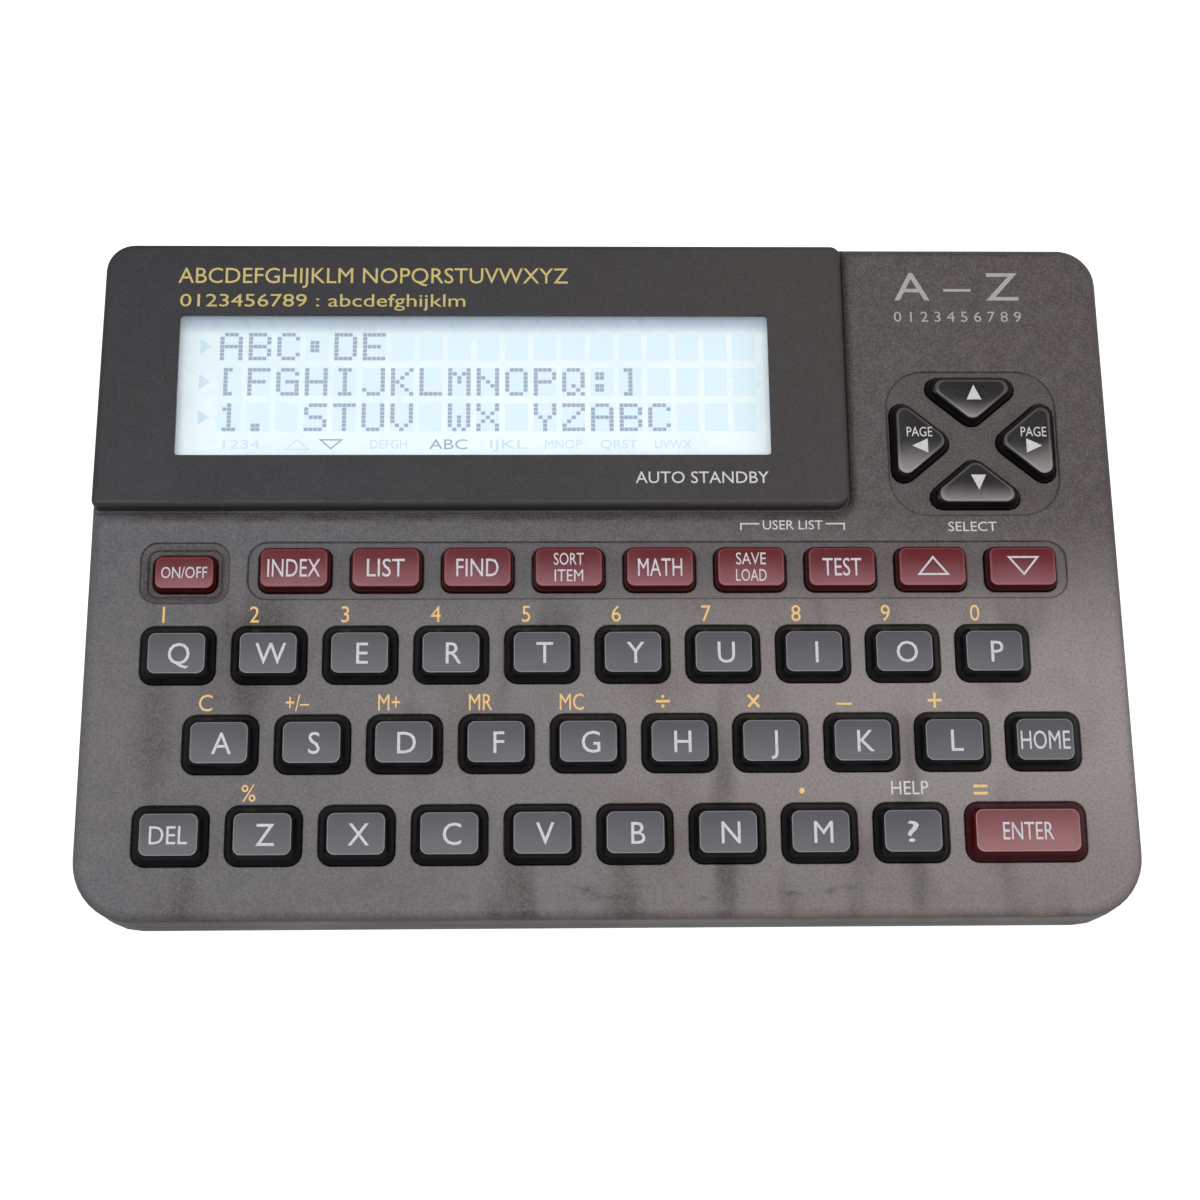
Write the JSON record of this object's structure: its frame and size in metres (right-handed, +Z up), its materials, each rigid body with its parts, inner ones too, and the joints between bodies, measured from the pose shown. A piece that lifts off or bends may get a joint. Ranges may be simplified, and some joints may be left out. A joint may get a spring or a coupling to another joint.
{
  "type": "electronic dictionary",
  "caption": "Flat handheld electronic dictionary: raised display block over a letter keyboard, with an arrow pad, red function keys and a battery cover that slides off.",
  "frame": {"origin": "middle of the case's plan outline, on the plane that its feet rest on", "axes": "+X to the right along the keyboard, +Y from the keyboard to the display, +Z up out of the keys"},
  "size_m": [0.1394, 0.0936, 0.0135],
  "materials": {
    "case": "fine matte grain",
    "panel": "smooth matte",
    "pane": "clear polished",
    "display_glass": "satin",
    "key_black": "satin top",
    "key_red": "satin",
    "key_brown": "satin",
    "key_arrow": "gloss",
    "rubber": "matte silicone",
    "board": "solder mask",
    "cell": "nickel plated",
    "steel": "zinc plated"
  },
  "bodies": {
    "case": {"top_case": "case", "bottom_case": "case", "display_panel": "panel", "display_window": "pane", "lcd_glass": "display_glass", "elastomer_strip": "rubber", "keypad_sheet": "rubber", "main_board": "board", "battery_left": "cell", "battery_right": "cell", "battery_clip": "steel", "screw_front_left": "steel", "screw_front_right": "steel", "screw_rear_left": "steel", "screw_rear_right": "steel"},
    "battery_cover": {"battery_cover": "case"},
    "key_on_off": {"key_on_off": "key_red"},
    "key_function_1": {"key_function_1": "key_red"},
    "key_function_2": {"key_function_2": "key_red"},
    "key_function_3": {"key_function_3": "key_red"},
    "key_function_4": {"key_function_4": "key_red"},
    "key_function_5": {"key_function_5": "key_red"},
    "key_function_6": {"key_function_6": "key_red"},
    "key_function_7": {"key_function_7": "key_red"},
    "key_function_8": {"key_function_8": "key_red"},
    "key_function_9": {"key_function_9": "key_red"},
    "key_q": {"key_q": "key_black"},
    "key_w": {"key_w": "key_black"},
    "key_e": {"key_e": "key_black"},
    "key_r": {"key_r": "key_black"},
    "key_t": {"key_t": "key_black"},
    "key_y": {"key_y": "key_black"},
    "key_u": {"key_u": "key_black"},
    "key_i": {"key_i": "key_black"},
    "key_o": {"key_o": "key_black"},
    "key_p": {"key_p": "key_black"},
    "key_a": {"key_a": "key_black"},
    "key_s": {"key_s": "key_black"},
    "key_d": {"key_d": "key_black"},
    "key_f": {"key_f": "key_black"},
    "key_g": {"key_g": "key_black"},
    "key_h": {"key_h": "key_black"},
    "key_j": {"key_j": "key_black"},
    "key_k": {"key_k": "key_black"},
    "key_l": {"key_l": "key_black"},
    "key_rate": {"key_rate": "key_black"},
    "key_clear": {"key_clear": "key_black"},
    "key_z": {"key_z": "key_black"},
    "key_x": {"key_x": "key_black"},
    "key_c": {"key_c": "key_black"},
    "key_v": {"key_v": "key_black"},
    "key_b": {"key_b": "key_black"},
    "key_n": {"key_n": "key_black"},
    "key_m": {"key_m": "key_black"},
    "key_question": {"key_question": "key_black"},
    "key_enter": {"key_enter": "key_brown"},
    "key_up": {"key_up": "key_arrow"},
    "key_down": {"key_down": "key_arrow"},
    "key_left": {"key_left": "key_arrow"},
    "key_right": {"key_right": "key_arrow"}
  },
  "joints": [
    {"name": "battery_cover_slide", "type": "slide", "parent": "case", "child": "battery_cover", "axis": [0, 1, 0], "range_m": [0, 0.037]},
    {"name": "key_on_off_press", "type": "slide", "parent": "case", "child": "key_on_off", "axis": [0, 0, -1], "range_m": [0, 0.0008], "stiffness_N_per_m": 600, "deforming": ["keypad_sheet"]},
    {"name": "key_function_1_press", "type": "slide", "parent": "case", "child": "key_function_1", "axis": [0, 0, -1], "range_m": [0, 0.0008], "stiffness_N_per_m": 600, "deforming": ["keypad_sheet"]},
    {"name": "key_function_2_press", "type": "slide", "parent": "case", "child": "key_function_2", "axis": [0, 0, -1], "range_m": [0, 0.0008], "stiffness_N_per_m": 600, "deforming": ["keypad_sheet"]},
    {"name": "key_function_3_press", "type": "slide", "parent": "case", "child": "key_function_3", "axis": [0, 0, -1], "range_m": [0, 0.0008], "stiffness_N_per_m": 600, "deforming": ["keypad_sheet"]},
    {"name": "key_function_4_press", "type": "slide", "parent": "case", "child": "key_function_4", "axis": [0, 0, -1], "range_m": [0, 0.0008], "stiffness_N_per_m": 600, "deforming": ["keypad_sheet"]},
    {"name": "key_function_5_press", "type": "slide", "parent": "case", "child": "key_function_5", "axis": [0, 0, -1], "range_m": [0, 0.0008], "stiffness_N_per_m": 600, "deforming": ["keypad_sheet"]},
    {"name": "key_function_6_press", "type": "slide", "parent": "case", "child": "key_function_6", "axis": [0, 0, -1], "range_m": [0, 0.0008], "stiffness_N_per_m": 600, "deforming": ["keypad_sheet"]},
    {"name": "key_function_7_press", "type": "slide", "parent": "case", "child": "key_function_7", "axis": [0, 0, -1], "range_m": [0, 0.0008], "stiffness_N_per_m": 600, "deforming": ["keypad_sheet"]},
    {"name": "key_function_8_press", "type": "slide", "parent": "case", "child": "key_function_8", "axis": [0, 0, -1], "range_m": [0, 0.0008], "stiffness_N_per_m": 600, "deforming": ["keypad_sheet"]},
    {"name": "key_function_9_press", "type": "slide", "parent": "case", "child": "key_function_9", "axis": [0, 0, -1], "range_m": [0, 0.0008], "stiffness_N_per_m": 600, "deforming": ["keypad_sheet"]},
    {"name": "key_q_press", "type": "slide", "parent": "case", "child": "key_q", "axis": [0, 0, -1], "range_m": [0, 0.0008], "stiffness_N_per_m": 600, "deforming": ["keypad_sheet"]},
    {"name": "key_w_press", "type": "slide", "parent": "case", "child": "key_w", "axis": [0, 0, -1], "range_m": [0, 0.0008], "stiffness_N_per_m": 600, "deforming": ["keypad_sheet"]},
    {"name": "key_e_press", "type": "slide", "parent": "case", "child": "key_e", "axis": [0, 0, -1], "range_m": [0, 0.0008], "stiffness_N_per_m": 600, "deforming": ["keypad_sheet"]},
    {"name": "key_r_press", "type": "slide", "parent": "case", "child": "key_r", "axis": [0, 0, -1], "range_m": [0, 0.0008], "stiffness_N_per_m": 600, "deforming": ["keypad_sheet"]},
    {"name": "key_t_press", "type": "slide", "parent": "case", "child": "key_t", "axis": [0, 0, -1], "range_m": [0, 0.0008], "stiffness_N_per_m": 600, "deforming": ["keypad_sheet"]},
    {"name": "key_y_press", "type": "slide", "parent": "case", "child": "key_y", "axis": [0, 0, -1], "range_m": [0, 0.0008], "stiffness_N_per_m": 600, "deforming": ["keypad_sheet"]},
    {"name": "key_u_press", "type": "slide", "parent": "case", "child": "key_u", "axis": [0, 0, -1], "range_m": [0, 0.0008], "stiffness_N_per_m": 600, "deforming": ["keypad_sheet"]},
    {"name": "key_i_press", "type": "slide", "parent": "case", "child": "key_i", "axis": [0, 0, -1], "range_m": [0, 0.0008], "stiffness_N_per_m": 600, "deforming": ["keypad_sheet"]},
    {"name": "key_o_press", "type": "slide", "parent": "case", "child": "key_o", "axis": [0, 0, -1], "range_m": [0, 0.0008], "stiffness_N_per_m": 600, "deforming": ["keypad_sheet"]},
    {"name": "key_p_press", "type": "slide", "parent": "case", "child": "key_p", "axis": [0, 0, -1], "range_m": [0, 0.0008], "stiffness_N_per_m": 600, "deforming": ["keypad_sheet"]},
    {"name": "key_a_press", "type": "slide", "parent": "case", "child": "key_a", "axis": [0, 0, -1], "range_m": [0, 0.0008], "stiffness_N_per_m": 600, "deforming": ["keypad_sheet"]},
    {"name": "key_s_press", "type": "slide", "parent": "case", "child": "key_s", "axis": [0, 0, -1], "range_m": [0, 0.0008], "stiffness_N_per_m": 600, "deforming": ["keypad_sheet"]},
    {"name": "key_d_press", "type": "slide", "parent": "case", "child": "key_d", "axis": [0, 0, -1], "range_m": [0, 0.0008], "stiffness_N_per_m": 600, "deforming": ["keypad_sheet"]},
    {"name": "key_f_press", "type": "slide", "parent": "case", "child": "key_f", "axis": [0, 0, -1], "range_m": [0, 0.0008], "stiffness_N_per_m": 600, "deforming": ["keypad_sheet"]},
    {"name": "key_g_press", "type": "slide", "parent": "case", "child": "key_g", "axis": [0, 0, -1], "range_m": [0, 0.0008], "stiffness_N_per_m": 600, "deforming": ["keypad_sheet"]},
    {"name": "key_h_press", "type": "slide", "parent": "case", "child": "key_h", "axis": [0, 0, -1], "range_m": [0, 0.0008], "stiffness_N_per_m": 600, "deforming": ["keypad_sheet"]},
    {"name": "key_j_press", "type": "slide", "parent": "case", "child": "key_j", "axis": [0, 0, -1], "range_m": [0, 0.0008], "stiffness_N_per_m": 600, "deforming": ["keypad_sheet"]},
    {"name": "key_k_press", "type": "slide", "parent": "case", "child": "key_k", "axis": [0, 0, -1], "range_m": [0, 0.0008], "stiffness_N_per_m": 600, "deforming": ["keypad_sheet"]},
    {"name": "key_l_press", "type": "slide", "parent": "case", "child": "key_l", "axis": [0, 0, -1], "range_m": [0, 0.0008], "stiffness_N_per_m": 600, "deforming": ["keypad_sheet"]},
    {"name": "key_rate_press", "type": "slide", "parent": "case", "child": "key_rate", "axis": [0, 0, -1], "range_m": [0, 0.0008], "stiffness_N_per_m": 600, "deforming": ["keypad_sheet"]},
    {"name": "key_clear_press", "type": "slide", "parent": "case", "child": "key_clear", "axis": [0, 0, -1], "range_m": [0, 0.0008], "stiffness_N_per_m": 600, "deforming": ["keypad_sheet"]},
    {"name": "key_z_press", "type": "slide", "parent": "case", "child": "key_z", "axis": [0, 0, -1], "range_m": [0, 0.0008], "stiffness_N_per_m": 600, "deforming": ["keypad_sheet"]},
    {"name": "key_x_press", "type": "slide", "parent": "case", "child": "key_x", "axis": [0, 0, -1], "range_m": [0, 0.0008], "stiffness_N_per_m": 600, "deforming": ["keypad_sheet"]},
    {"name": "key_c_press", "type": "slide", "parent": "case", "child": "key_c", "axis": [0, 0, -1], "range_m": [0, 0.0008], "stiffness_N_per_m": 600, "deforming": ["keypad_sheet"]},
    {"name": "key_v_press", "type": "slide", "parent": "case", "child": "key_v", "axis": [0, 0, -1], "range_m": [0, 0.0008], "stiffness_N_per_m": 600, "deforming": ["keypad_sheet"]},
    {"name": "key_b_press", "type": "slide", "parent": "case", "child": "key_b", "axis": [0, 0, -1], "range_m": [0, 0.0008], "stiffness_N_per_m": 600, "deforming": ["keypad_sheet"]},
    {"name": "key_n_press", "type": "slide", "parent": "case", "child": "key_n", "axis": [0, 0, -1], "range_m": [0, 0.0008], "stiffness_N_per_m": 600, "deforming": ["keypad_sheet"]},
    {"name": "key_m_press", "type": "slide", "parent": "case", "child": "key_m", "axis": [0, 0, -1], "range_m": [0, 0.0008], "stiffness_N_per_m": 600, "deforming": ["keypad_sheet"]},
    {"name": "key_question_press", "type": "slide", "parent": "case", "child": "key_question", "axis": [0, 0, -1], "range_m": [0, 0.0008], "stiffness_N_per_m": 600, "deforming": ["keypad_sheet"]},
    {"name": "key_enter_press", "type": "slide", "parent": "case", "child": "key_enter", "axis": [0, 0, -1], "range_m": [0, 0.0008], "stiffness_N_per_m": 600, "deforming": ["keypad_sheet"]},
    {"name": "key_up_press", "type": "slide", "parent": "case", "child": "key_up", "axis": [0, 0, -1], "range_m": [0, 0.0008], "stiffness_N_per_m": 600, "deforming": ["keypad_sheet"]},
    {"name": "key_down_press", "type": "slide", "parent": "case", "child": "key_down", "axis": [0, 0, -1], "range_m": [0, 0.0008], "stiffness_N_per_m": 600, "deforming": ["keypad_sheet"]},
    {"name": "key_left_press", "type": "slide", "parent": "case", "child": "key_left", "axis": [0, 0, -1], "range_m": [0, 0.0008], "stiffness_N_per_m": 600, "deforming": ["keypad_sheet"]},
    {"name": "key_right_press", "type": "slide", "parent": "case", "child": "key_right", "axis": [0, 0, -1], "range_m": [0, 0.0008], "stiffness_N_per_m": 600, "deforming": ["keypad_sheet"]}
  ]
}
